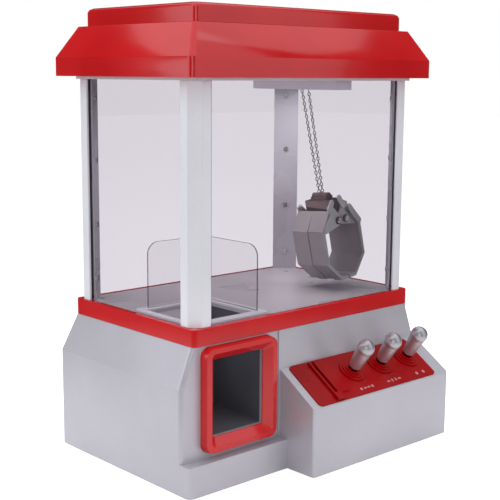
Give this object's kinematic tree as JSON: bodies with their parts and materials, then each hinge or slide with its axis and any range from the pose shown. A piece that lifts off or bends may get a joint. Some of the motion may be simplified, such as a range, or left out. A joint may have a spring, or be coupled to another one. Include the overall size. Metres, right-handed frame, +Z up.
{
  "type": "claw crane machine",
  "caption": "Desktop claw crane toy: glazed cabinet on a sloped control base with joysticks, prize opening, two-part roof, travelling crane and a two-jaw claw on chains.",
  "frame": {"origin": "middle of the machine's bounding box in plan, at the undersides of the feet", "axes": "+X to the player's right, +Y away from the player, +Z up"},
  "size_m": [0.2698, 0.206, 0.3675],
  "materials": {
    "silver_plastic": "satin silver paint on plastic",
    "red_plastic": "gloss",
    "dark_red_plastic": "gloss",
    "floor_grey": "satin grey",
    "claw_grey": "satin grey",
    "claw_dark": "satin dark grey",
    "chute_dark": "satin",
    "clear_plastic": "clear acrylic",
    "knob_silver": "metallic silver paint",
    "steel": "bright",
    "chain_steel": "nickel plated",
    "black_plastic": "matt",
    "black_rubber": "matt",
    "board_green": "solder mask",
    "cell_wrap": "printed wrap"
  },
  "bodies": {
    "cabinet": {"lower_tray": "silver_plastic", "base_shell": "silver_plastic", "feet": "black_rubber", "base_screws": "steel", "red_band": "red_plastic", "cabinet_floor": "floor_grey", "chute_rim": "silver_plastic", "chute_guard": "clear_plastic", "prize_chute": "chute_dark", "door_frame": "red_plastic", "post_front_left": "silver_plastic", "post_front_right": "silver_plastic", "post_back_left": "silver_plastic", "post_back_right": "silver_plastic", "corner_strips": "floor_grey", "strip_screws": "steel", "window_front": "clear_plastic", "window_back": "clear_plastic", "window_left": "clear_plastic", "window_right": "clear_plastic", "header_frame": "floor_grey", "roof_shell": "red_plastic", "lid_hinge_pin": "steel", "crane_rails": "steel", "control_panel": "dark_red_plastic", "joystick_boots": "red_plastic", "joystick_sockets": "black_plastic", "switch_blocks": "chute_dark", "coin_chute": "chute_dark", "coin_box": "floor_grey", "circuit_board": "board_green", "speaker": "black_plastic", "battery_box": "black_plastic", "batteries": "cell_wrap", "battery_contacts": "steel"},
    "roof_lid": {"roof_lid": "red_plastic"},
    "bridge": {"bridge_frame": "silver_plastic", "beam": "floor_grey", "bridge_motor": "steel"},
    "drive_wheels": {"drive_wheelset": "black_plastic"},
    "idler_wheels": {"idler_wheelset": "black_plastic"},
    "trolley": {"trolley_carriage": "silver_plastic", "trolley_motor": "steel", "hoist_motor": "steel", "lift_chains": "chain_steel"},
    "trolley_wheels": {"trolley_wheelset": "black_plastic"},
    "winch": {"winch_drum": "black_plastic"},
    "claw": {"chain_anchor": "claw_dark", "claw_head": "claw_dark", "jaw_pins": "steel"},
    "left_jaw": {"jaw_left": "claw_grey"},
    "right_jaw": {"jaw_right": "claw_grey"},
    "left_joystick": {"knob_left": "knob_silver", "shaft_left": "steel"},
    "middle_joystick": {"knob_middle": "knob_silver", "shaft_middle": "steel"},
    "right_joystick": {"knob_right": "knob_silver", "shaft_right": "steel"},
    "battery_cover": {"battery_cover": "silver_plastic"},
    "power_switch": {"power_switch": "black_plastic"}
  },
  "joints": [
    {"name": "bridge_slide", "type": "slide", "parent": "cabinet", "child": "bridge", "axis": [-1, 0, 0], "range_m": [-0.011, 0.093]},
    {"name": "drive_wheels_spin", "type": "hinge", "parent": "bridge", "child": "drive_wheels", "pos_m": [0.029, 0.0143, 0.32805], "axis": [0, 1, 0], "range_deg": [-895, 110]},
    {"name": "idler_wheels_spin", "type": "hinge", "parent": "bridge", "child": "idler_wheels", "pos_m": [0.079, 0.0143, 0.32805], "axis": [0, 1, 0], "range_deg": [-895, 110]},
    {"name": "trolley_slide", "type": "slide", "parent": "bridge", "child": "trolley", "axis": [0, 1, 0], "range_m": [-0.0155, 0.04]},
    {"name": "trolley_wheels_spin", "type": "hinge", "parent": "trolley", "child": "trolley_wheels", "pos_m": [0.054, 0.0172, 0.32465], "axis": [-1, 0, 0], "range_deg": [-240, 580]},
    {"name": "hoist_slide", "type": "slide", "parent": "trolley", "child": "claw", "axis": [-0.142, 0.0941, 0.9854], "range_m": [0, 0.08], "deforming": ["lift_chains"]},
    {"name": "winch_spin", "type": "hinge", "parent": "trolley", "child": "winch", "pos_m": [0.054, 0.0052, 0.3315], "axis": [-1, 0, 0], "range_deg": [0, 780]},
    {"name": "left_jaw_hinge", "type": "hinge", "parent": "claw", "child": "left_jaw", "pos_m": [0.06579, -0.01153, 0.18943], "axis": [0.0134, 0.9956, -0.0931], "range_deg": [0, 17]},
    {"name": "right_jaw_hinge", "type": "hinge", "parent": "claw", "child": "right_jaw", "pos_m": [0.0749, -0.01153, 0.19074], "axis": [0.0134, 0.9956, -0.0931], "range_deg": [-17, 0]},
    {"name": "left_joystick_hinge", "type": "hinge", "parent": "cabinet", "child": "left_joystick", "pos_m": [0.0337, -0.07707, 0.06742], "axis": [0, 0.8397, 0.543], "range_deg": [-13, 13], "stiffness_Nm_per_rad": 0.25},
    {"name": "middle_joystick_hinge", "type": "hinge", "parent": "cabinet", "child": "middle_joystick", "pos_m": [0.0682, -0.07707, 0.06742], "axis": [-1, 0, 0], "range_deg": [-13, 13], "stiffness_Nm_per_rad": 0.25},
    {"name": "right_joystick_hinge", "type": "hinge", "parent": "cabinet", "child": "right_joystick", "pos_m": [0.1027, -0.07707, 0.06742], "axis": [-1, 0, 0], "range_deg": [-13, 13], "stiffness_Nm_per_rad": 0.25},
    {"name": "roof_lid_hinge", "type": "hinge", "parent": "cabinet", "child": "roof_lid", "pos_m": [0, 0.0864, 0.3555], "axis": [-1, 0, 0], "range_deg": [0, 88]},
    {"name": "battery_cover_slide", "type": "slide", "parent": "cabinet", "child": "battery_cover", "axis": [0, 1, 0], "range_m": [0, 0.06]},
    {"name": "power_switch_slide", "type": "slide", "parent": "cabinet", "child": "power_switch", "axis": [1, 0, 0], "range_m": [0, 0.004]}
  ],
  "couplings": [
    {"joint": "drive_wheels_spin", "follows": "bridge_slide", "rad_per_m": -166.67},
    {"joint": "idler_wheels_spin", "follows": "bridge_slide", "rad_per_m": -166.67},
    {"joint": "trolley_wheels_spin", "follows": "trolley_slide", "rad_per_m": 250},
    {"joint": "winch_spin", "follows": "hoist_slide", "rad_per_m": 169.49},
    {"joint": "right_jaw_hinge", "follows": "left_jaw_hinge", "ratio": -1}
  ]
}
